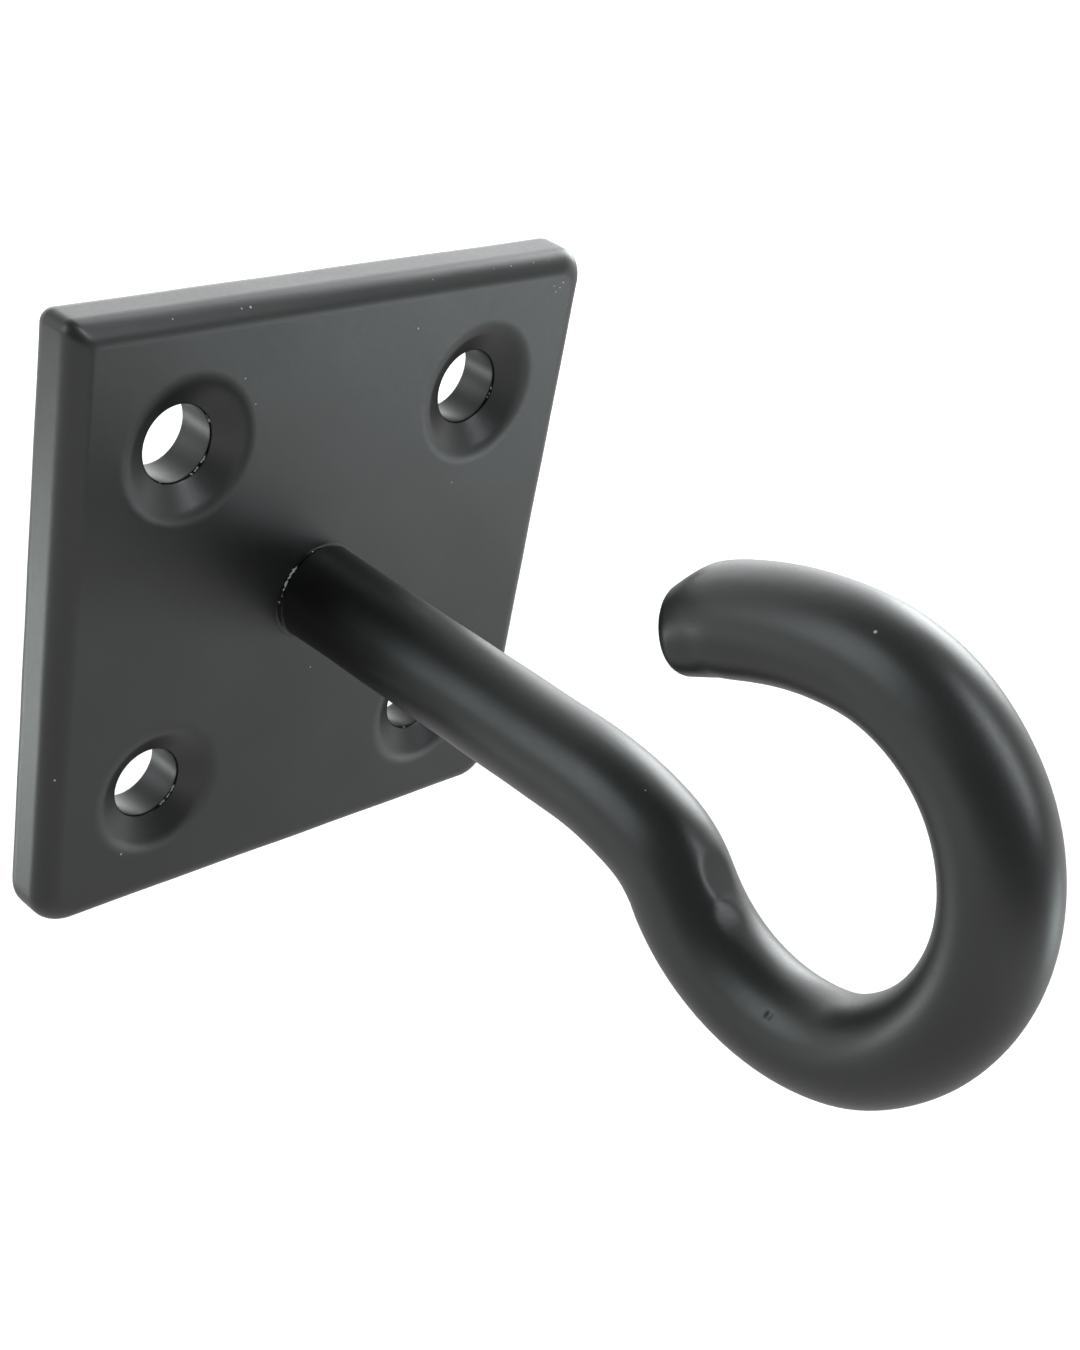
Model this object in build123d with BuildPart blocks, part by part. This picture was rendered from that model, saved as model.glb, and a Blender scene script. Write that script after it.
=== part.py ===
# Plate hook: a round steel rod bent to an open hook and riveted through a square wall plate.
#
# Frame, in millimetres: +Z is up, the wall is on the +Y side and the hook reaches out along -Y.
# The origin is the middle of the plate's back face, which lies flat on the wall.
#
# The two pieces:
#   plate  a square of flat bar with four countersunk screw holes
#   hook   the bent rod, its end turned down, passed through the plate and riveted flush

import os

from build123d import *

os.makedirs("parts", exist_ok=True)

# Plate, cut from flat bar
plate_size = 50.0
plate_thickness = 5.0
plate_corner_radius = 1.0
front_edge_radius = 1.8
back_edge_radius = 1.4

# Screw holes, sunk with an ordinary drill point
screw_hole_spacing = 29.0
screw_hole_diameter = 6.0
countersink_diameter = 10.8
countersink_angle = 118.0

# Rod: a straight shank square to the plate, then bends given as radius and turn in degrees.
# A turn above zero bends the rod down, and one below zero bends it up and back.
rod_diameter = 8.0
shank_length = 29.5
shank_dip = (26.0, 17.5)
neck_kink = (8.0, 29.5)
loop_heel = (15.25, -63.0)
loop_toe = (9.0, -21.0)
loop_round = (14.5, -148.0)
loop_return = (28.0, -22.5)
hook_bends = (shank_dip, neck_kink, loop_heel, loop_toe, loop_round, loop_return)

# Mark that the bending jaw left on top of the neck, its place counted along the rod from the plate
jaw_edge_radius = 6.0
jaw_mark_place = 41.6
jaw_mark_depth = 0.4

# Tip: the shears rolled the end over on its outer side and left the inner side straight
tip_length = 4.2
tip_diameter = 6.0
tip_drop = 1.0
tip_end_chamfer = 1.0

# Rivet: a turned spigot spread into a countersink in the plate's back
spigot_diameter = 6.0
rivet_head_diameter = 9.0
rivet_head_angle = 90.0

# Worked out from the sizes above
rod_radius = rod_diameter / 2
spigot_radius = spigot_diameter / 2
rivet_head_radius = rivet_head_diameter / 2
rivet_head_depth = rivet_head_radius - spigot_radius
countersink_radius = countersink_diameter / 2

with BuildPart() as plate:
    with BuildSketch(Plane.XZ):
        RectangleRounded(plate_size, plate_size, plate_corner_radius)
    extrude(amount=plate_thickness)
    fillet(plate.faces().sort_by(Axis.Y)[0].edges(), front_edge_radius)
    fillet(plate.faces().sort_by(Axis.Y)[-1].edges(), back_edge_radius)

    with Locations(Plane.XZ.offset(plate_thickness)):
        with GridLocations(screw_hole_spacing, screw_hole_spacing, 2, 2):
            CounterSinkHole(screw_hole_diameter / 2, countersink_radius,
                            plate_thickness, countersink_angle)

    with Locations(Plane.ZX):
        CounterSinkHole(spigot_radius, rivet_head_radius, plate_thickness, rivet_head_angle)
plate.part.label = "plate"
export_step(plate.part, "parts/plate.step")

with BuildPart() as hook:
    with BuildLine(Plane.YZ) as rod_line:
        bend = Line((-plate_thickness, 0), (-plate_thickness - shank_length, 0))
        for bend_radius, bend_turn in hook_bends:
            bend = JernArc(bend @ 1, bend % 1, bend_radius, bend_turn)
    with BuildSketch(Plane.XZ.offset(plate_thickness)):
        Circle(rod_radius)
    sweep()

    # The jaw pressed its round edge straight across the rod, from inside the loop
    rod_wire = rod_line.wire()
    mark = rod_wire.position_at(jaw_mark_place, PositionMode.LENGTH)
    inward = rod_wire.tangent_at(jaw_mark_place, PositionMode.LENGTH).cross(Vector(1, 0, 0))
    jaw = mark + inward * (rod_radius + jaw_edge_radius - jaw_mark_depth)
    with BuildSketch(Plane.YZ):
        with Locations((jaw.Y, jaw.Z)):
            Circle(jaw_edge_radius)
    extrude(amount=rod_radius, both=True, mode=Mode.SUBTRACT)

    # At the rod's end the sketch's local y axis points out of the loop
    rod_end = Plane(bend @ 1, x_dir=(1, 0, 0), z_dir=bend % 1)
    with BuildSketch(rod_end):
        Circle(rod_radius)
    with BuildSketch(rod_end.offset(tip_length)):
        with Locations((0, -tip_drop)):
            Circle(tip_diameter / 2)
    loft()
    tip_face = hook.faces(Select.LAST).sort_by(Axis(rod_end.origin, rod_end.z_dir))[-1]
    chamfer(tip_face.edges(), tip_end_chamfer)

    # The spigot and its spread head, which fill the hole in the plate
    with BuildSketch(Plane.YZ):
        with BuildLine():
            Polyline(
                (-plate_thickness, 0),
                (-plate_thickness, spigot_radius),
                (-rivet_head_depth, spigot_radius),
                (0, rivet_head_radius),
                (0, 0),
                close=True,
            )
        make_face()
    revolve(axis=Axis.Y)
hook.part.label = "hook"
export_step(hook.part, "parts/hook.step")

for piece in (plate, hook):
    print(piece.part.label, round(piece.part.volume), piece.part.bounding_box())
print("rod length", round(rod_wire.length + tip_length, 1))
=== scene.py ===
import bpy
import numpy as np
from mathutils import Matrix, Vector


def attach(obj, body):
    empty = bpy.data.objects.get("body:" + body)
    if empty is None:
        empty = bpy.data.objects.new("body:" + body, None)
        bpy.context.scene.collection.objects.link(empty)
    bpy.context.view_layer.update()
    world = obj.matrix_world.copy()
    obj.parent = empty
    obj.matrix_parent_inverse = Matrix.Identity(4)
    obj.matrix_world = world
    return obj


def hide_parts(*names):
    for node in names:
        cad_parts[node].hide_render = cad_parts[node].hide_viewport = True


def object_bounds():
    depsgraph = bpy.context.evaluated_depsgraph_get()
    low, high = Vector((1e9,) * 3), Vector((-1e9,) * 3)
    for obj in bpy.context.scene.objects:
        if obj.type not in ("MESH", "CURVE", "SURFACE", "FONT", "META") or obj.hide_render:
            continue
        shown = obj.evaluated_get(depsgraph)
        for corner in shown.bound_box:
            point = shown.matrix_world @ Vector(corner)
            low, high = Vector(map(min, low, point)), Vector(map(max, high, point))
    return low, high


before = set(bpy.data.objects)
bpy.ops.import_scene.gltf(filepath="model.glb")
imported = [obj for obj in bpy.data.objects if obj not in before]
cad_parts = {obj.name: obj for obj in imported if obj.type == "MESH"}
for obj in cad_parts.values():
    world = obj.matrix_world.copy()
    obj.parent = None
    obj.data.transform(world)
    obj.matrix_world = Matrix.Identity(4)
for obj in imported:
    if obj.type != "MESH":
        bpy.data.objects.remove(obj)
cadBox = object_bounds()
millimetre = 0.001
mergeDistance = 0.002           # points as near to each other as this, in millimetres, become one


# Tools for surfaces

def roundedProfile(corners, setbacks, straightSteps, roundSteps):
    # A line of straight runs whose corners are true arcs. An arc starts and ends the setback away
    # from its corner, and is the rational curve (1-t)^2 A + 2 w t (1-t) K + t^2 B, divided by its
    # weights, where w is the cosine of half the turn. Rows crowd towards both ends of a run.
    corners = np.asarray(corners, float)
    rows = []
    start = corners[0]
    for index in range(1, len(corners)):
        corner = corners[index]
        setback = setbacks[index - 1] if index < len(corners) - 1 else 0
        arrive = (corner - start) / np.linalg.norm(corner - start)
        end = corner - arrive * setback
        crowd = (1 - np.cos(np.pi * np.linspace(0, 1, straightSteps + 1))) / 2
        rows.append(start + crowd[:-1, None] * (end - start))
        if setback > 0:
            leave = corners[index + 1] - corner
            leave /= np.linalg.norm(leave)
            finish = corner + leave * setback
            weight = np.sqrt((1 + arrive @ leave) / 2)
            t = np.linspace(0, 1, roundSteps + 1)[:-1, None]
            parts = ((1 - t) ** 2, 2 * weight * t * (1 - t), t ** 2)
            rows.append((parts[0] * end + parts[1] * corner + parts[2] * finish) / sum(parts))
            start = finish
        else:
            start = end
    rows.append(start[None])
    return np.concatenate(rows)


def gridQuads(rowCount, columnCount, closed):
    # Each quad joins a point to the next in its row and to the two beside them in the next row
    columns = columnCount - (not closed)
    row, column = np.meshgrid(np.arange(rowCount - 1), np.arange(columns), indexing="ij")
    after = (column + 1) % columnCount
    quads = [row * columnCount + column, row * columnCount + after,
             (row + 1) * columnCount + after, (row + 1) * columnCount + column]
    return np.stack(quads, -1).reshape(-1, 4)


def makePiece(name, grids, material):
    # Puts grids of points, in millimetres, into one mesh, merges where they meet, and turns faces outwards
    points, quads, count = [], [], 0
    for grid, closed in grids:
        quads.append(gridQuads(grid.shape[0], grid.shape[1], closed) + count)
        points.append(grid.reshape(-1, 3))
        count += grid.shape[0] * grid.shape[1]
    mesh = bpy.data.meshes.new(name)
    mesh.from_pydata((np.concatenate(points) * millimetre).tolist(), [], np.concatenate(quads).tolist())
    piece = bpy.data.objects.new(name, mesh)
    bpy.context.scene.collection.objects.link(piece)
    bpy.context.view_layer.objects.active = piece
    bpy.ops.object.select_all(action="DESELECT")
    piece.select_set(True)
    bpy.ops.object.mode_set(mode="EDIT")
    bpy.ops.mesh.select_all(action="SELECT")
    bpy.ops.mesh.remove_doubles(threshold=mergeDistance * millimetre)
    bpy.ops.mesh.normals_make_consistent(inside=False)
    bpy.ops.object.mode_set(mode="OBJECT")
    mesh.shade_smooth()
    mesh.materials.append(material)
    print(name, len(mesh.vertices), "points", len(mesh.polygons), "faces")
    return piece


def readPoints(mesh):
    # The mesh's points, in millimetres, and their normals, as arrays
    points = np.empty(len(mesh.vertices) * 3)
    normals = np.empty(len(mesh.vertices) * 3)
    mesh.vertices.foreach_get("co", points)
    mesh.vertex_normals.foreach_get("vector", normals)
    return points.reshape(-1, 3) / millimetre, normals.reshape(-1, 3)


def pressIn(piece, depth):
    # Each point moves inwards along its own normal by its depth in millimetres
    points, normals = readPoints(piece.data)
    points -= normals * depth(points)[:, None]
    piece.data.vertices.foreach_set("co", (points * millimetre).ravel())
    piece.data.update()


def markWearAndShade(piece, wearAndShade):
    # Writes a mask from 0 to 1 for each point, for the material: chips with painted glints, and painted shade
    points = readPoints(piece.data)[0]
    attribute = piece.data.attributes.new("wearAndShade", "FLOAT", "POINT")
    attribute.data.foreach_set("value", np.clip(wearAndShade(points), 0, 1))


def bell(distance, width):
    # e to the minus (distance over width) squared
    return np.exp(-(distance / width) ** 2)


def angleApart(angle, middle):
    # The turn in degrees from the middle angle, between -180 and 180
    return (angle - middle + 180) % 360 - 180


rippleShape = {
    "waves": 14,
    "lengths": (0.6, 1.8),      # the shortest and the longest wave, as shares of the wavelength
    "contrast": 1.3,
}


def ripple(points, wavelength, seed):
    # Half, plus the contrast times the mean of plane sine waves, kept between 0 and 1. The seed draws
    # each wave's direction, length and phase.
    draw = np.random.default_rng(seed)
    directions = draw.normal(size=(rippleShape["waves"], 3))
    directions /= np.linalg.norm(directions, axis=1)[:, None]
    lengths = wavelength * draw.uniform(*rippleShape["lengths"], rippleShape["waves"])
    phases = draw.uniform(0, 2 * np.pi, rippleShape["waves"])
    waves = np.sin(points @ (directions / lengths[:, None]).T * 2 * np.pi + phases)
    return np.clip(0.5 + waves.mean(-1) * rippleShape["contrast"], 0, 1)


# The bent rod. Lengths along it count from the plate's front. Angles round it are in degrees, with 0 on
# the upper side of the shank and the inner side of the loop, and 90 to the right.

rod = {
    "radius": 4.0,
    "plateThickness": 5.0,
    "shank": 29.5,
    # each bend: the radius of the rod's middle line and the turn in degrees, downwards above 0
    "bends": [(26.0, 17.5), (8.0, 29.5), (15.25, -63.0), (9.0, -21.0), (14.5, -148.0), (28.0, -22.5)],
    "easing": 2.0,              # the length over which one bend goes over into the next
    "tipLength": 3.75,
    "tipRadius": 3.1,
    "tipDrop": 0.7,             # towards the inside of the loop
    "tipEase": 1.3,             # above 1 the drop starts softly
    "tipLead": 2.2,             # the length of straight rod before the tip that its shoulder takes up
    "tipShoulder": 1.9,
    "tipRounds": (0.6, 1.1, 1.8),       # at the end: on the outer side, the inner side and the two between
    "tipWide": 1.17,            # how much wider than high the tip ends
    "spigotRadius": 3.0,
    "headRadius": 4.5,
    "headBreak": 0.12,          # the worn edge of the rivet's head
    "foot": 0.26,               # the coat's small fillet against the plate
    "footRipple": (0.25, 3, 40, 7),     # the share that varies, slow waves, their start, and fast waves
    "footLump": (-118.0, 26.0, 0.34),   # angle, spread and height
    "jawMarks": [               # edge radius, place, depth and lean in degrees
        (8.2, 41.7, 0.23, -1.0), (4.5, 46.0, 0.11, -15.0)],
    "jawSoftness": 0.05,        # how far the coat rounds the marks' edges
    "jawReach": 0.5,            # the cosine of the angle from its middle up to which a mark is worked out
    "ridge": (44.15, -21.0, 0.45, 15.0, 0.06),      # place, angle, length, spread, height
    "crease": (41.5, 180.0, 0.75, 42.0, 0.12),      # the tight inside of the neck: as the ridge, but inwards
    "nick": (54.9, -56.0, 0.27, 0.09),  # place, angle, size, depth
    "unevenness": (0.045, 9.0, 11),     # depth, wavelength and seed
    "evenFoot": (0.6, 3.0),     # how far from the plate the unevenness starts, and how soon it is whole
    "footGlintAndShade": (-62.0, 62.0, 0.9),     # broken line at the foot, cracked coat with painted highlight and shade: angle, spread and strength
    "footLine": (0.12, 0.14),   # the line's distance from the plate, and its width
    "dustAndGlint": [(-2.52, -56.32, 22.99, 0.12), (-1.56, -41.84, 2.76, 0.07)],    # each speck's x, y, z and radius
    "dustShare": 0.012,         # of the places that could hold a speck by chance
    "lineSamples": 12001,
    "columns": 128,
    "rivetRows": (5, 4),        # in each straight run and in each round
    "footRows": (12, 0.7),      # how many, and up to which length
    "shaftFrom": 1.0,
    "step": 0.42,
    "fineStep": 0.15,
    "fineFrom": 37.0,
    "fineTo": 57.0,
    "shaftGap": 0.2,            # between the shaft's last row and the tip's first
    "tipRows": (5, 9),
}


def rodHeading():
    # The heading in radians below the horizon by length from the plate's front: it turns evenly in
    # each bend, whose length is its radius times its turn, and is averaged over the easing length
    lengths = [rod["shank"]] + [radius * np.radians(abs(turn)) for radius, turn in rod["bends"]]
    lengths.append(rod["tipLength"] + rod["easing"])
    turns = [0] + [turn for radius, turn in rod["bends"]] + [0]
    ends = np.concatenate([[-rod["plateThickness"], 0], np.cumsum(lengths)])
    totals = np.radians(np.concatenate([[0, 0], np.cumsum(turns)]))
    along = np.linspace(ends[0], ends[-1], rod["lineSamples"])
    gap = along[1] - along[0]
    heading = np.interp(along, ends, totals)
    window = np.ones(int(rod["easing"] / gap) | 1)      # an odd count, so that the average has a middle
    padded = np.pad(heading, len(window) // 2, mode="edge")
    heading = np.convolve(padded, window / window.sum(), mode="valid")
    return along, heading, ends[-1] - rod["easing"]


def onRod(place, angle, middle, turn, length, spread):
    # A bell along the rod times a bell round it
    return np.exp(-((place - middle) / length) ** 2 - (angleApart(angle, turn) / spread) ** 2)


def jawMark(place, angle, centre, inside, mark):
    # The radius that a round bar, pressed across the rod, leaves. With w from the bar's middle to the
    # line, the bar is met at -(w . inside) - sqrt((w . inside)^2 - w^2 + bar^2) along the inward
    # direction, and at that over cos(angle apart) along any other. Where it isn't met, nothing limits it.
    edge, middle, depth, lean = mark
    index = np.abs(place[:, 0] - middle).argmin()
    bar = centre[index] + inside[index] * (rod["radius"] + edge - depth)
    w = centre - bar
    towards = (w * inside).sum(-1)
    under = towards ** 2 - (w ** 2).sum(-1) + edge ** 2
    reach = np.where((under > 0) & (towards < 0), -towards - np.sqrt(np.abs(under)), np.inf)
    apart = np.cos(np.radians(angleApart(angle, lean)))
    return np.where(apart > rod["jawReach"], reach[:, None] / np.maximum(apart, rod["jawReach"]), np.inf)


def rodRadius(place, angle, centre, inside):
    # The rod's radius by length and angle, from its line's points and inward directions. Each jaw mark
    # limits it by a soft minimum, -s log(e^(-radius / s) + e^(-mark / s)) with the softness s. Ridge,
    # crease and nick are bells, and the foot is a hollow quarter circle between the rod and the plate.
    radius = np.full(np.broadcast(place, angle).shape, rod["radius"])
    softness = rod["jawSoftness"]
    for mark in rod["jawMarks"]:
        met = jawMark(place, angle, centre, inside, mark)
        radius = -softness * np.logaddexp(-radius / softness, -met / softness)
    *where, height = rod["ridge"]
    radius = radius + height * onRod(place, angle, *where)
    *where, depth = rod["crease"]
    radius = radius - depth * onRod(place, angle, *where)
    middle, turn, size, depth = rod["nick"]
    across = np.radians(angleApart(angle, turn)) * rod["radius"]
    radius = radius - depth * np.exp(-(((place - middle) ** 2 + across ** 2) / size ** 2) ** 2)
    share, slowWaves, slowStart, fastWaves = rod["footRipple"]
    waves = np.sin(np.radians(angle * slowWaves + slowStart)) * np.sin(np.radians(angle * fastWaves))
    lumpAngle, lumpSpread, lumpHeight = rod["footLump"]
    lump = lumpHeight * bell(angleApart(angle, lumpAngle), lumpSpread)
    foot = rod["foot"] * (1 - share + share * waves) + lump
    inFoot = np.clip(foot - place, 0, foot)
    return radius + foot - np.sqrt(foot ** 2 - inFoot ** 2)


def rivetProfile():
    # Height above the plate's back and radius: the flush head, its cone and the spigot, up to the rod
    thickness, head, spigot, edge = (
        rod[key] for key in ("plateThickness", "headRadius", "spigotRadius", "headBreak"))
    corners = [(0, 0), (0, head - edge), (head - spigot, spigot),
               (thickness, spigot), (thickness, rod["radius"])]
    return roundedProfile(corners, [edge, 0, 0], *rod["rivetRows"])[:-1]


def tipProfile(angle):
    # Length from the tip's start and radius, by row and angle. Three profiles, the outer, inner and side
    # one, are mixed by (1 - cos)/2 cos^2, (1 + cos)/2 cos^2 and sin^2 of the angle.
    corners = [(-rod["tipLead"], rod["radius"]), (0, rod["radius"]),
               (rod["tipLength"], rod["tipRadius"]), (rod["tipLength"], 0)]
    outer, inner, side = (
        roundedProfile(corners, [rod["tipShoulder"], endRound], *rod["tipRows"])
        for endRound in rod["tipRounds"])
    sine, cosine = (wave(np.radians(angle))[None, :, None] for wave in (np.sin, np.cos))
    upright = (outer[:, None] * (1 - cosine) + inner[:, None] * (1 + cosine)) / 2
    return upright * cosine ** 2 + side[:, None] * sine ** 2


def rodGrid():
    # The whole rod as rows of one closed grid. Its line starts at the plate's back and is the sum of
    # short steps along (0, -cos heading, -sin heading).
    along, heading, end = rodHeading()
    middle = (heading[1:] + heading[:-1]) / 2
    gap = along[1] - along[0]
    line = np.zeros((len(along), 3))
    line[1:, 1] = np.cumsum(-np.cos(middle)) * gap
    line[1:, 2] = np.cumsum(-np.sin(middle)) * gap
    angle = np.linspace(-180, 180, rod["columns"], endpoint=False)

    def lineAt(place):
        # The line's points and the directions towards the inside of the loop
        turn = np.interp(place, along, heading)
        centre = np.stack([np.interp(place, along, line[:, axis]) for axis in range(3)], -1)
        return centre, np.stack([0 * turn, -np.sin(turn), np.cos(turn)], -1)

    def carried(place, radius, drop=np.zeros((1, 1)), wide=np.ones((1, 1))):
        # The point at a length and angle: the line's place, plus the drop towards the inside,
        # plus the radius times (cos(angle) inside + wide sin(angle) sideways)
        centre, inside = lineAt(place)
        sideways = np.array([1.0, 0.0, 0.0])
        turn = np.radians(angle)[:, None]
        around = np.cos(turn) * inside + wide[..., None] * np.sin(turn) * sideways
        return centre + drop[..., None] * inside + radius[..., None] * around

    rivet = rivetProfile()
    rivetRows = carried(rivet[:, :1] - rod["plateThickness"], rivet[:, 1:])

    # The shaft has finer rows where the bending tools marked it
    footCount, footReach = rod["footRows"]
    tipStart = end - rod["tipLength"]
    place = np.concatenate([
        footReach * np.linspace(0, 1, footCount) ** 2,
        np.arange(rod["shaftFrom"], rod["fineFrom"], rod["step"]),
        np.arange(rod["fineFrom"], rod["fineTo"], rod["fineStep"]),
        np.arange(rod["fineTo"], tipStart - rod["tipLead"] - rod["shaftGap"], rod["step"])])
    shaft = carried(place[:, None], rodRadius(place[:, None], angle[None], *lineAt(place)))

    # At the tip the radius falls as the middle drops, so the inner side stays nearly straight
    tip = tipProfile(angle)
    ease = np.clip(tip[..., 0] / rod["tipLength"], 0, 1) ** rod["tipEase"]
    wide = 1 + (rod["tipWide"] - 1) * ease
    tipRows = carried(tipStart + tip[..., 0], tip[..., 1], rod["tipDrop"] * ease, wide)
    return np.concatenate([rivetRows, shaft, tipRows])


def rodUnevenness(points):
    # The ripple's depth, which rises evenly from nothing near the plate
    depth, wavelength, seed = rod["unevenness"]
    start, reach = rod["evenFoot"]
    rise = np.clip((-points[:, 1] - rod["plateThickness"] - start) / reach, 0, 1)
    return depth * ripple(points, wavelength, seed) * rise


def rodFootGlintAndShade(points):
    # The line at the rod's foot, cracked coat partly lit as a painted highlight, with painted shade beside
    # it:
    # a bell round the rod times one out from the plate
    angle = np.degrees(np.arctan2(points[:, 0], points[:, 2]))
    middle, spread, strength = rod["footGlintAndShade"]
    distance, width = rod["footLine"]
    place = -points[:, 1] - rod["plateThickness"]
    return strength * bell(angleApart(angle, middle), spread) * bell(place - distance, width)


# The plate

plate = {
    "halfSide": 25.0,
    "thickness": rod["plateThickness"],
    "corners": {(1, 1): 2.2, (1, -1): 3.0, (-1, 1): 1.0, (-1, -1): 3.0},    # ground round unevenly
    "cornerShare": 0.3,         # how much of the corner's radius is lost for each millimetre inwards
    "frontRound": 1.8,
    "backRound": 1.4,
    "arcShare": 0.999,          # how much of an edge's round its arc takes up, which leaves the runs a length
    "holeOffset": 14.5,
    "boreRadius": 3.0,
    "sinkRadius": 5.4,
    "sinkAngle": 118.0,
    "sinkRim": 0.75,            # how far the soft rim reaches to each side of the countersink's edge
    "rimShare": 0.98,           # how much of that reach its arc takes up
    "boreLip": 0.16,
    "boreBack": 0.2,
    "boreBackRound": 0.08,
    "spigotRadius": rod["spigotRadius"],
    "headRadius": rod["headRadius"],
    "headBreak": rod["headBreak"],
    "unevenness": (0.05, 11.0, 5),      # depth, wavelength and seed
    "evenBack": 0.6,            # how soon the unevenness is whole, from the plate's back
    "evenMiddle": (4.6, 3.0),   # the radius round the rod at which it starts, and how soon it is whole
    "rimShadeLine": (0.5, 0.16),     # strength and width of the painted shadow line round every bore
    "burrGlints": [                  # chipped burrs with painted glints: hole, angle round it (90 is up), spread and strength
        (-1, 1, -45.0, 38.0, 0.95), (-1, 1, 32.0, 14.0, 0.95), (-1, 1, 85.0, 12.0, 0.95),
        (-1, 1, -118.0, 22.0, 0.85),
        (1, 1, -20.0, 34.0, 0.9), (-1, -1, -45.0, 45.0, 0.95), (1, -1, -100.0, 18.0, 0.95)],
    # Dust on the front, and along the upper edge chips whose light colour is partly a painted glint
    "dustAndGlint": [                   # each speck's x, y, z and radius: on the front, then along its upper edge
        (-10.0, -5.0, 19.4, 0.07), (22.2, -5.0, 22.8, 0.08), (21.5, -5.0, 22.1, 0.07),
        (21.9, -5.0, 22.4, 0.06), (21.2, -5.0, 22.6, 0.05), (0.2, -5.0, -7.0, 0.06),
        (13.7, -5.0, -7.3, 0.05),
        (-16.6, -4.5, 24.5, 0.10), (-10.6, -4.5, 24.5, 0.09), (-9.8, -4.5, 24.5, 0.11),
        (7.9, -4.5, 24.5, 0.09), (14.5, -4.4, 24.6, 0.08), (16.4, -4.4, 24.6, 0.08),
        (18.9, -4.4, 24.6, 0.08), (20.6, -4.4, 24.6, 0.07)],
    "dustShare": 0.025,         # of the places that could hold a speck by chance
    "seamColumns": 34,
    "sideColumns": 38,
    "cornerColumns": 12,
    "arcColumns": 12,
    "faceRows": 18,
    "tubeRows": (6, 8),         # in each straight run and in each round
    "edgeRows": (8, 12),
    "middleRows": (3, 2),
}


def sinkDepth():
    # How deep the countersink's cone is: its radius less the bore's, over the tangent of half its angle
    return (plate["sinkRadius"] - plate["boreRadius"]) / np.tan(np.radians(plate["sinkAngle"] / 2))


def quarterLoop(inset, middleRadius, corner):
    # The edge of one quarter of a face, as it runs from the middle hole out along one seam, up the
    # side, round the corner, back to the other seam, in to the middle hole and round a quarter of it
    half = plate["halfSide"] - inset
    cornerRadius = corner - inset * plate["cornerShare"]
    straight = half - cornerRadius
    seamShare = np.linspace(0, 1, plate["seamColumns"], endpoint=False)
    seam = middleRadius + (half - middleRadius) * seamShare
    seamBack = half - (half - middleRadius) * seamShare
    side = straight * np.linspace(0, 1, plate["sideColumns"], endpoint=False)
    turn = np.linspace(0, np.pi / 2, plate["cornerColumns"], endpoint=False)
    quarter = np.linspace(np.pi / 2, 0, plate["arcColumns"], endpoint=False)
    runs = [(seam, 0 * seam), (half + 0 * side, side),
            (straight + cornerRadius * np.cos(turn), straight + cornerRadius * np.sin(turn)),
            (straight - side, half + 0 * side), (0 * seamBack, seamBack),
            (middleRadius * np.cos(quarter), middleRadius * np.sin(quarter))]
    return np.concatenate([np.stack(run, -1) for run in runs])


def onFace(flat, height):
    # Face coordinates and a height above the plate's back, as points of the frame
    return np.stack([flat[..., 0], -np.broadcast_to(height, flat.shape[:-1]), flat[..., 1]], -1)


def between(inner, outer):
    # Straight lines from one loop to another, whose rows crowd towards the outer one by 1 - (1 - t)^2
    crowd = 1 - (1 - np.linspace(0, 1, plate["faceRows"])[:, None, None]) ** 2
    return inner * (1 - crowd) + outer * crowd


def quarterGrids(corner):
    # A quarter of the plate with one screw hole, whose corner has the given radius
    thickness, bore = plate["thickness"], plate["boreRadius"]
    hole = np.full(2, plate["holeOffset"])
    frontLoop = quarterLoop(plate["frontRound"], plate["spigotRadius"], corner)
    backLoop = quarterLoop(plate["backRound"], plate["headRadius"], corner)
    out = frontLoop - hole
    out /= np.linalg.norm(out, axis=1)[:, None]

    # The countersunk bore: a profile of radius and height, carried round the hole
    rim = plate["sinkRadius"] + plate["sinkRim"]
    profile = roundedProfile(
        [(bore + plate["boreBack"], 0), (bore, plate["boreBack"]), (bore, thickness - sinkDepth()),
         (plate["sinkRadius"], thickness), (rim, thickness)],
        [plate["boreBackRound"], plate["boreLip"], plate["sinkRim"] * plate["rimShare"]], *plate["tubeRows"])
    tube = onFace(hole + profile[:, 0, None, None] * out, profile[:, 1, None])

    # The faces lie between the bore's rims and the quarter's edge
    frontFace = onFace(between(hole + profile[-1, 0] * out, frontLoop), thickness)
    backFace = onFace(between(hole + profile[0, 0] * out, backLoop), 0)

    # The outer edge: a rounded section carried round the outline, given as inset and height
    section = roundedProfile(
        [(plate["frontRound"], thickness), (0, thickness), (0, 0), (plate["backRound"], 0)],
        [plate[key] * plate["arcShare"] for key in ("frontRound", "backRound")], *plate["edgeRows"])
    first = plate["seamColumns"]
    last = first + 2 * plate["sideColumns"] + plate["cornerColumns"] + 1
    edge = np.stack([onFace(quarterLoop(inset, plate["headRadius"], corner)[first:last], height)
                     for inset, height in section])

    # The middle hole: a quarter of the spigot's bore and of the cone for the rivet's head
    middle = roundedProfile(
        [(plate["headRadius"], 0), (plate["headRadius"] - plate["headBreak"], plate["headBreak"]),
         (plate["spigotRadius"], plate["headRadius"] - plate["spigotRadius"]),
         (plate["spigotRadius"], thickness)],
        [0, 0], *plate["middleRows"])
    quarter = np.linspace(np.pi / 2, 0, plate["arcColumns"] + 1)
    ring = np.stack([np.cos(quarter), np.sin(quarter)], -1)
    middleHole = onFace(middle[:, 0, None, None] * ring, middle[:, 1, None])
    return [(tube, True), (frontFace, True), (backFace, True), (edge, False), (middleHole, False)]


def plateGrids():
    # The four quarters, each worked out for its own corner's radius and mirrored into its place
    grids = []
    for (mirrorX, mirrorZ), corner in plate["corners"].items():
        mirror = np.array([mirrorX, 1, mirrorZ])
        grids += [(grid * mirror, closed) for grid, closed in quarterGrids(corner)]
    return grids


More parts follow.
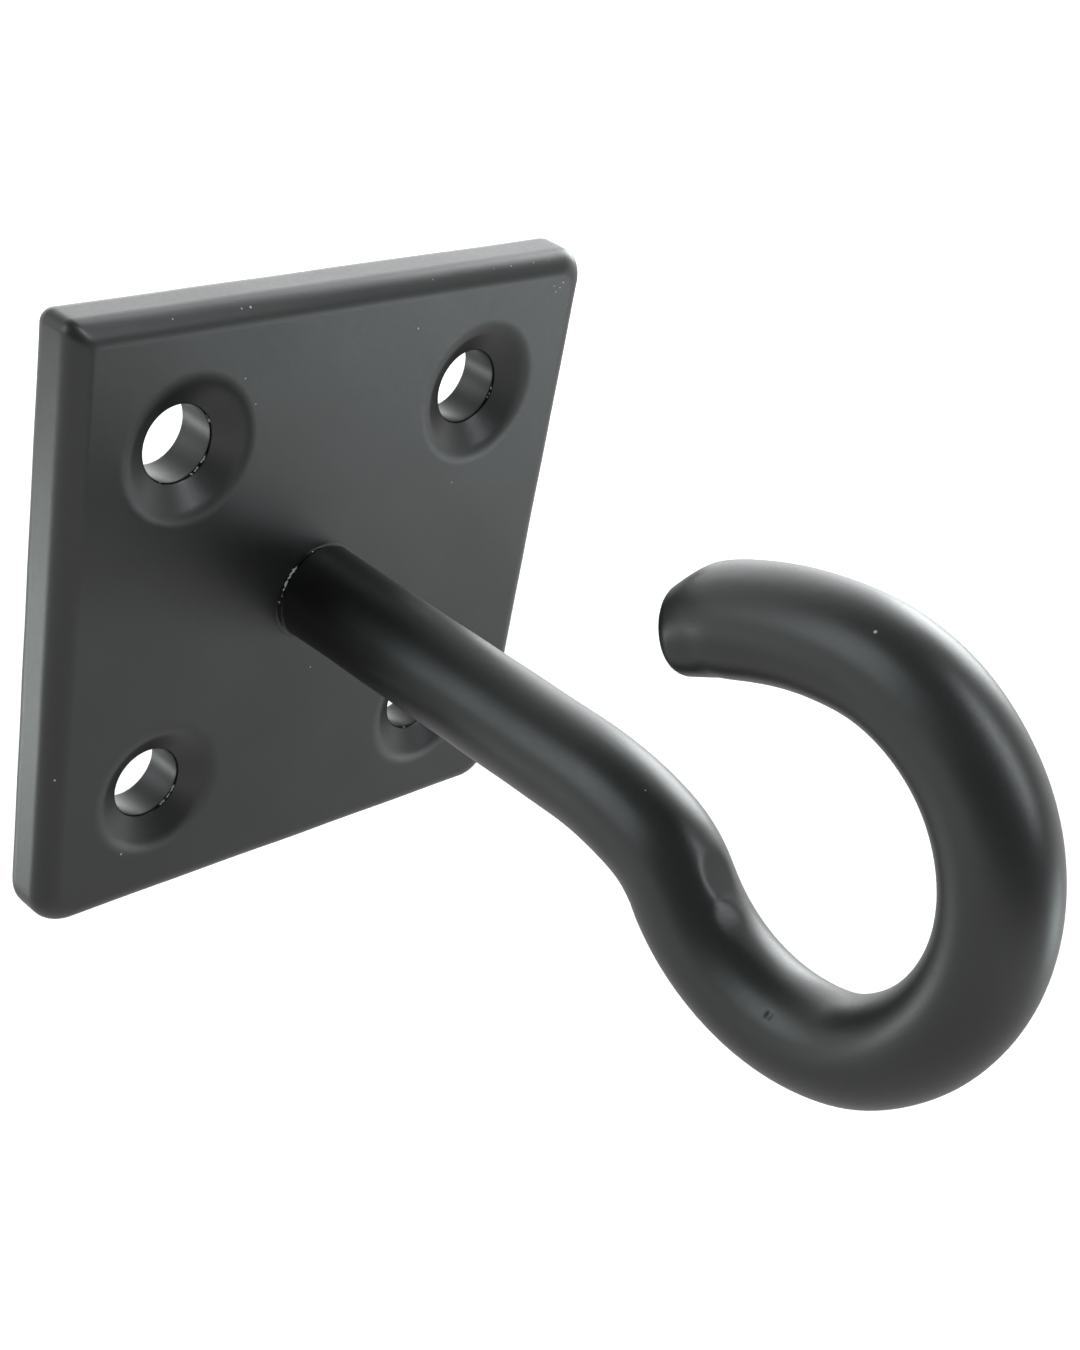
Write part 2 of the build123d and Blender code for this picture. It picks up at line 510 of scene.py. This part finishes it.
def plateUnevenness(points):
    # The ripple's depth, which rises evenly from nothing at the back and at the rod's foot
    depth, wavelength, seed = plate["unevenness"]
    start, reach = plate["evenMiddle"]
    fromBack = np.clip(-points[:, 1] / plate["evenBack"], 0, 1)
    fromMiddle = np.clip((np.hypot(points[:, 0], points[:, 2]) - start) / reach, 0, 1)
    return depth * ripple(points, wavelength, seed) * fromBack * fromMiddle


def plateRimShadeAndGlints(points):
    # A painted shadow line round the bores' rims, and burrs with painted glints: a bell over the distance
    # from the rim, times the strongest burr there, where each burr is a bell round its hole
    holeX, holeZ = (np.sign(points[:, axis]) for axis in (0, 2))
    x, z = (points[:, axis] - sign * plate["holeOffset"] for axis, sign in ((0, holeX), (2, holeZ)))
    wearAndShade, width = plate["rimShadeLine"]
    outwards = np.hypot(x, z) - plate["boreRadius"]
    upwards = points[:, 1] + plate["thickness"] - sinkDepth()
    rim = bell(np.hypot(outwards, upwards), width)
    strength = np.full(len(points), wearAndShade)
    for signX, signZ, middle, spread, height in plate["burrGlints"]:
        here = (holeX == signX) & (holeZ == signZ)
        apart = angleApart(np.degrees(np.arctan2(z, x)), middle)
        strength = np.maximum(strength, here * height * bell(apart, spread))
    return strength * rim


# The coat, with node groups for what it shows on both pieces

coatSettings = {
    "dark": (0.0085, 0.0085, 0.0088, 1),
    "pale": (0.0118, 0.0121, 0.0119, 1),
    # the colour of the painted shadow lines at the rod's foot and round the bores
    "shade": (0.003, 0.003, 0.003, 1),
    # the colour of dust, and of chips whose light is partly a painted glint
    "dustAndGlint": (0.45, 0.46, 0.45, 1),
    "roughness": (0.35, 0.41),
    "ior": 1.5,
    "sheen": (0.6, 0.1),        # the specular level, and what is left of it in a shadow line
    "peelHeight": 0.010,
    "grainHeight": 0.0018,
    "lumps": {"Peel": (1.3, 2.0), "Grain": (0.22, 2.0), "Mottle": (9.0, 3.0)},      # size and detail
    "mottleRange": (0.35, 0.65),        # the noise values between which the colour goes from dark to pale
    "grainRange": (0.25, 0.75),         # and those between which the roughness rises
    "speckCell": 2.2,           # one place for a speck in each cell of about this size
    "speckSize": 0.045,         # a speck's radius as a share of its cell
    "wearLumps": (0.4, 3.0, 0.6),       # size, detail and roughness of the noise that breaks the worn line
    "wearWeight": 0.6,
    "chipAndGlintRange": (0.93, 1.0),
    "shadeRange": (0.22, 0.45),
}


def newGroup(name, inputs, outputs):
    # A node group with named inputs, each with its kind and value, and named outputs
    group = bpy.data.node_groups.new(name, "ShaderNodeTree")
    for label, kind, value in inputs:
        socket = group.interface.new_socket(name=label, in_out="INPUT", socket_type=kind)
        if value is not None:
            socket.default_value = value
    for label, kind in outputs:
        group.interface.new_socket(name=label, in_out="OUTPUT", socket_type=kind)
    return group, group.nodes.new("NodeGroupInput"), group.nodes.new("NodeGroupOutput")


def addNode(tree, kind, values=None, **settings):
    # A node with its settings, whose inputs are linked to sockets or set to values
    node = tree.nodes.new(kind)
    for key, value in settings.items():
        setattr(node, key, value)
    for socket, value in (values or {}).items():
        if isinstance(value, bpy.types.NodeSocket):
            tree.links.new(value, node.inputs[socket])
        else:
            node.inputs[socket].default_value = value
    return node


def noiseOf(tree, vector, size, detail, roughness=0.5):
    # Noise whose lumps are about the size apart, in millimetres
    return addNode(tree, "ShaderNodeTexNoise", {
        "Vector": vector, "Scale": 1 / (size * millimetre), "Detail": detail,
        "Roughness": roughness}).outputs["Fac"]


def mapped(tree, value, low, high, toLow=0.0, toHigh=1.0, smooth=True):
    # The value carried from one range to another, along a smooth step or a straight line
    return addNode(tree, "ShaderNodeMapRange", {
        "Value": value, "From Min": low, "From Max": high, "To Min": toLow, "To Max": toHigh},
        interpolation_type="SMOOTHSTEP" if smooth else "LINEAR").outputs["Result"]


def maths(tree, operation, first, second):
    # One operation on two values
    return addNode(tree, "ShaderNodeMath", {0: first, 1: second}, operation=operation).outputs[0]


def blend(tree, share, first, second):
    # The first colour times (1 - share), plus the second times the share
    return addNode(tree, "ShaderNodeMix", {0: share, 6: first, 7: second}, data_type="RGBA").outputs[2]


def coatGroup():
    # The coat's own texture: an even orange peel, a fine grain and a slow mottle
    lumps = coatSettings["lumps"]
    group, start, end = newGroup(
        "sprayedCoat", [("Vector", "NodeSocketVector", None)],
        [(label, "NodeSocketFloat") for label in lumps])
    for label, (size, detail) in lumps.items():
        group.links.new(noiseOf(group, start.outputs["Vector"], size, detail), end.inputs[label])
    return group


def specksGroup():
    # Sparse dust: cells of a Voronoi pattern, of which only the few with a low random value hold a speck
    group, start, end = newGroup(
        "dustSpecks",
        [("Vector", "NodeSocketVector", None), ("Share", "NodeSocketFloat", 0.0),
         ("Size", "NodeSocketFloat", coatSettings["speckSize"])],
        [("Mask", "NodeSocketFloat")])
    cells = addNode(group, "ShaderNodeTexVoronoi", {
        "Vector": start.outputs["Vector"], "Scale": 1 / (coatSettings["speckCell"] * millimetre),
        "Randomness": 1.0})
    draw = addNode(group, "ShaderNodeSeparateColor", {0: cells.outputs["Color"]})
    chosen = maths(group, "LESS_THAN", draw.outputs[0], start.outputs["Share"])
    near = maths(group, "LESS_THAN", cells.outputs["Distance"], start.outputs["Size"])
    group.links.new(maths(group, "MULTIPLY", chosen, near), end.inputs["Mask"])
    return group


def edgeWearAndShadeGroup():
    # Where the mask is high the coat is chipped along a broken line whose light is partly a painted glint,
    # with a fine painted shadow line beside it
    group, start, end = newGroup(
        "edgeWearAndShade", [("Vector", "NodeSocketVector", None), ("WearAndShade", "NodeSocketFloat", 0.0)],
        [("ChipAndGlint", "NodeSocketFloat"), ("Shade", "NodeSocketFloat")])
    lumps = noiseOf(group, start.outputs["Vector"], *coatSettings["wearLumps"])
    weighed = maths(group, "MULTIPLY", start.outputs["WearAndShade"], coatSettings["wearWeight"])
    chipAndGlint = mapped(group, maths(group, "ADD", lumps, weighed), *coatSettings["chipAndGlintRange"])
    shade = mapped(group, start.outputs["WearAndShade"], *coatSettings["shadeRange"])
    besideChip = maths(group, "SUBTRACT", 1.0, chipAndGlint)
    group.links.new(chipAndGlint, end.inputs["ChipAndGlint"])
    group.links.new(maths(group, "MULTIPLY", shade, besideChip), end.inputs["Shade"])
    return group


def coatMaterial(name, groups, settings):
    # Satin black paint: the mottle moves the colour a little, the grain the roughness, and peel and grain
    # are bumps. The settings are the piece's own, with the dust and chips that the photo shows and a share of
    # more dust. The chips' light colour is partly a painted glint, and the mask's shadow lines are painted
    # shade.
    material = bpy.data.materials.new(name)
    material.use_nodes = True
    tree = material.node_tree
    tree.nodes.clear()
    place = addNode(tree, "ShaderNodeTexCoord").outputs["Object"]
    # The mask of chips with painted glints and of painted shadow lines
    wornAndShaded = addNode(tree, "ShaderNodeAttribute", attribute_name="wearAndShade").outputs["Fac"]
    coat, specks, wearAndShade = (
        addNode(tree, "ShaderNodeGroup", node_tree=groups[key]) for key in ("coat", "specks", "wearAndShade"))
    for group in (coat, specks, wearAndShade):
        tree.links.new(place, group.inputs["Vector"])
    specks.inputs["Share"].default_value = settings["dustShare"]
    tree.links.new(wornAndShaded, wearAndShade.inputs["WearAndShade"])

    # Random dust, then the listed specks: dust, and chips with painted glints on the plate's upper edge
    dustAndGlint = specks.outputs["Mask"]
    for *middle, radius in settings["dustAndGlint"]:
        middle = tuple(side * millimetre for side in middle)
        away = addNode(tree, "ShaderNodeVectorMath", {0: place, 1: middle}, operation="DISTANCE")
        speck = maths(tree, "LESS_THAN", away.outputs["Value"], radius * millimetre)
        dustAndGlint = maths(tree, "MAXIMUM", dustAndGlint, speck)

    mottle = mapped(tree, coat.outputs["Mottle"], *coatSettings["mottleRange"])
    colour = blend(tree, mottle, coatSettings["dark"], coatSettings["pale"])
    # Painted shade: the shadow lines darken the colour, and below they also lower the sheen
    colour = blend(tree, wearAndShade.outputs["Shade"], colour, coatSettings["shade"])
    # Dust, and chips whose light colour is partly a painted glint
    light = maths(tree, "MAXIMUM", dustAndGlint, wearAndShade.outputs["ChipAndGlint"])
    colour = blend(tree, light, colour, coatSettings["dustAndGlint"])
    sheen = mapped(tree, wearAndShade.outputs["Shade"], 0.0, 1.0, *coatSettings["sheen"])
    rough = mapped(tree, coat.outputs["Grain"], *coatSettings["grainRange"], *coatSettings["roughness"],
                   smooth=False)
    peel = maths(tree, "MULTIPLY", coat.outputs["Peel"], coatSettings["peelHeight"] * millimetre)
    grain = maths(tree, "MULTIPLY", coat.outputs["Grain"], coatSettings["grainHeight"] * millimetre)
    bump = addNode(tree, "ShaderNodeBump", {
        "Strength": 1.0, "Distance": 1.0, "Height": maths(tree, "ADD", peel, grain)})
    shader = addNode(tree, "ShaderNodeBsdfPrincipled", {
        "Base Color": colour, "Roughness": rough, "IOR": coatSettings["ior"],
        "Specular IOR Level": sheen, "Normal": bump.outputs["Normal"]})
    # What is left where an export drops the link
    shader.inputs["Specular IOR Level"].default_value = coatSettings["sheen"][0]
    output = addNode(tree, "ShaderNodeOutputMaterial")
    tree.links.new(shader.outputs[0], output.inputs["Surface"])
    return material


print("materials")
groups = {"coat": coatGroup(), "specks": specksGroup(), "wearAndShade": edgeWearAndShadeGroup()}
rodCoat = coatMaterial("rodCoat", groups, rod)
plateCoat = coatMaterial("plateCoat", groups, plate)

print("rod")
hookPiece = makePiece("bent_rod", [(rodGrid(), True)], rodCoat)
pressIn(hookPiece, rodUnevenness)
markWearAndShade(hookPiece, rodFootGlintAndShade)
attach(hookPiece, "root")
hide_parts("hook")

print("plate")
platePiece = makePiece("wall_plate", plateGrids(), plateCoat)
pressIn(platePiece, plateUnevenness)
markWearAndShade(platePiece, plateRimShadeAndGlints)
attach(platePiece, "root")
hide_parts("plate")


# The studio

studio = {
    "floorHeight": -150.0,
    "floorSize": 6000.0,
    "floorColour": (0.86, 0.86, 0.86, 1),
    "floorGlow": (0.25, 1.0),   # what makes up white in the picture, near the object and far off
    "floorReach": (250.0, 700.0),
    "floorMirror": (0.72, 1.05),        # how bright reflections show the floor, near the object and far off
    "mirrorReach": (254.9, 331.6),
    "roomLevel": 0.5,           # what the white room adds to the matt surfaces
    "roomMirror": 1.71,         # how bright reflections show it
    "darkSide": (-0.46, -0.60, 0.66),   # where the room is dark: up, out and to the left, behind the camera
    "darkEdge": (-0.59, 0.58),  # the cosine from that direction at which the dark starts and is full
    "darkLevel": 0.14,
    # each lamp: bearing (0 is out from the wall, 90 is to the right) and height in degrees,
    # distance and size in millimetres, its brightness and its tint
    "lamps": {
        "window": (-117.0, 26.0, 800, (348, 576), 3.1, (0.88, 0.99, 1.0)),
        "overhead": (24.0, 51.0, 900, (240, 840), 6.9, (0.91, 0.97, 1.0)),
        "rightBack": (104.0, 24.0, 1200, (522, 834), 6.8, (0.95, 1.0, 1.0)),
        "back": (142.0, 12.0, 1200, (1318, 1198), 1.45, (0.94, 0.99, 1.0)),
        "rightFront": (49.0, -12.0, 400, (172, 104), 3.2, (0.86, 1.0, 1.0)),
        "leftBack": (-146.0, -26.0, 250, (80, 68), 4.2, (0.9, 1.0, 0.97)),
        "highBack": (125.0, 50.0, 1000, (166, 84), 9.0, (0.86, 0.98, 1.0)),
    },
}


def rayKinds(tree):
    # Whether a ray is the picture's own, also through clear things, and whether it is a reflection's
    path = addNode(tree, "ShaderNodeLightPath")
    seen = maths(tree, "MAXIMUM", path.outputs["Is Camera Ray"], path.outputs["Is Transmission Ray"])
    return seen, path.outputs["Is Glossy Ray"]


def buildWorld():
    # The room is white in the picture. For light it is its level, or the mirror's for a reflection,
    # times the shade, which falls from 1 to the dark level towards the dark side.
    world = bpy.data.worlds.new("studioRoom")
    bpy.context.scene.world = world
    world.use_nodes = True
    world.cycles.sampling_method = "NONE"       # so that every ray finds the room as its kind should
    tree = world.node_tree
    tree.nodes.clear()
    direction = addNode(tree, "ShaderNodeTexCoord").outputs["Generated"]
    towards = addNode(tree, "ShaderNodeVectorMath", {0: direction, 1: studio["darkSide"]},
                      operation="DOT_PRODUCT")
    shade = mapped(tree, towards.outputs["Value"], *studio["darkEdge"], 1.0, studio["darkLevel"])
    seen, glossy = rayKinds(tree)
    mirrorMore = maths(tree, "MULTIPLY", glossy, studio["roomMirror"] - studio["roomLevel"])
    strength = maths(tree, "MULTIPLY", shade, maths(tree, "ADD", mirrorMore, studio["roomLevel"]))
    whole = maths(tree, "MAXIMUM", seen, strength)
    background = addNode(tree, "ShaderNodeBackground", {"Color": (1, 1, 1, 1), "Strength": whole})
    output = addNode(tree, "ShaderNodeOutputWorld")
    tree.links.new(background.outputs[0], output.inputs["Surface"])


def buildFloor():
    # The picture shows the paper and its glow, a reflection only shows a glow of its own. Both glows
    # change with the distance from under the object.
    half, height = studio["floorSize"] / 2, studio["floorHeight"]
    corners = np.array([
        (-half, -half, height), (half, -half, height), (half, half, height), (-half, half, height)])
    mesh = bpy.data.meshes.new("floor")
    mesh.from_pydata((corners * millimetre).tolist(), [], [(0, 1, 2, 3)])
    floor = bpy.data.objects.new("floor", mesh)
    bpy.context.scene.collection.objects.link(floor)
    material = bpy.data.materials.new("floorPaper")
    material.use_nodes = True
    tree = material.node_tree
    tree.nodes.clear()
    seen, glossy = rayKinds(tree)
    place = addNode(tree, "ShaderNodeTexCoord").outputs["Object"]
    level = addNode(tree, "ShaderNodeVectorMath", {0: place, 1: (1, 1, 0)}, operation="MULTIPLY")
    away = addNode(tree, "ShaderNodeVectorMath", {0: level.outputs["Vector"]}, operation="LENGTH")

    def byDistance(reach, levels):
        near, far = (distance * millimetre for distance in reach)
        return mapped(tree, away.outputs["Value"], near, far, *levels)

    glow = maths(tree, "MULTIPLY", seen, byDistance(studio["floorReach"], studio["floorGlow"]))
    paper = addNode(tree, "ShaderNodeBsdfDiffuse", {"Color": studio["floorColour"]})
    light = addNode(tree, "ShaderNodeEmission", {"Strength": glow})
    both = addNode(tree, "ShaderNodeAddShader", {0: paper.outputs[0], 1: light.outputs[0]})
    mirrored = addNode(tree, "ShaderNodeEmission", {
        "Strength": byDistance(studio["mirrorReach"], studio["floorMirror"])})
    surface = addNode(tree, "ShaderNodeMixShader", {0: glossy, 1: both.outputs[0], 2: mirrored.outputs[0]})
    output = addNode(tree, "ShaderNodeOutputMaterial")
    tree.links.new(surface.outputs[0], output.inputs["Surface"])
    mesh.materials.append(material)


def buildLamps(target):
    # A lamp's power is its brightness times its area times pi, so that it looks that bright at any size
    for name, (bearing, height, distance, size, brightness, tint) in studio["lamps"].items():
        lamp = bpy.data.lights.new(name, "AREA")
        lamp.color = tint
        lamp.shape = "RECTANGLE"
        lamp.size, lamp.size_y = (side * millimetre for side in size)
        lamp.energy = brightness * lamp.size * lamp.size_y * np.pi
        stand = bpy.data.objects.new(name, lamp)
        stand.visible_camera = False
        bpy.context.scene.collection.objects.link(stand)
        bearing, height = np.radians((bearing, height))
        towards = target.copy()
        towards.x = np.sin(bearing) * np.cos(height)
        towards.y = -np.cos(bearing) * np.cos(height)
        towards.z = np.sin(height)
        stand.location = target + towards * distance * millimetre
        stand.rotation_euler = towards.to_track_quat("Z", "Y").to_euler()


# How the camera stood, in metres and degrees, with its lens in millimetres
cameraStand = {
    "place": (-0.10770, -0.11699, 0.07968),
    "turn": (54.0553, -10.5305, -45.1585),
    "focalLength": 57.177,
    "sensorWidth": 36.0,
    "shift": (-0.0028, 0.2),
    "nearest": 0.01,            # the camera sees nothing nearer than this
}


def buildCamera():
    # The shift moves the frame over the picture by a share of its width, and the camera stays where it is
    lens = bpy.data.cameras.new("camera")
    lens.sensor_width = cameraStand["sensorWidth"]
    lens.lens = cameraStand["focalLength"]
    lens.shift_x, lens.shift_y = cameraStand["shift"]
    lens.clip_start = cameraStand["nearest"]
    stand = bpy.data.objects.new("camera", lens)
    stand.location = cameraStand["place"]
    stand.rotation_euler = np.radians(cameraStand["turn"])
    bpy.context.scene.collection.objects.link(stand)
    bpy.context.scene.camera = stand


print("studio")
buildWorld()
buildFloor()
buildLamps((cadBox[0] + cadBox[1]) / 2)
buildCamera()
bpy.context.scene.view_settings.view_transform = "Standard"
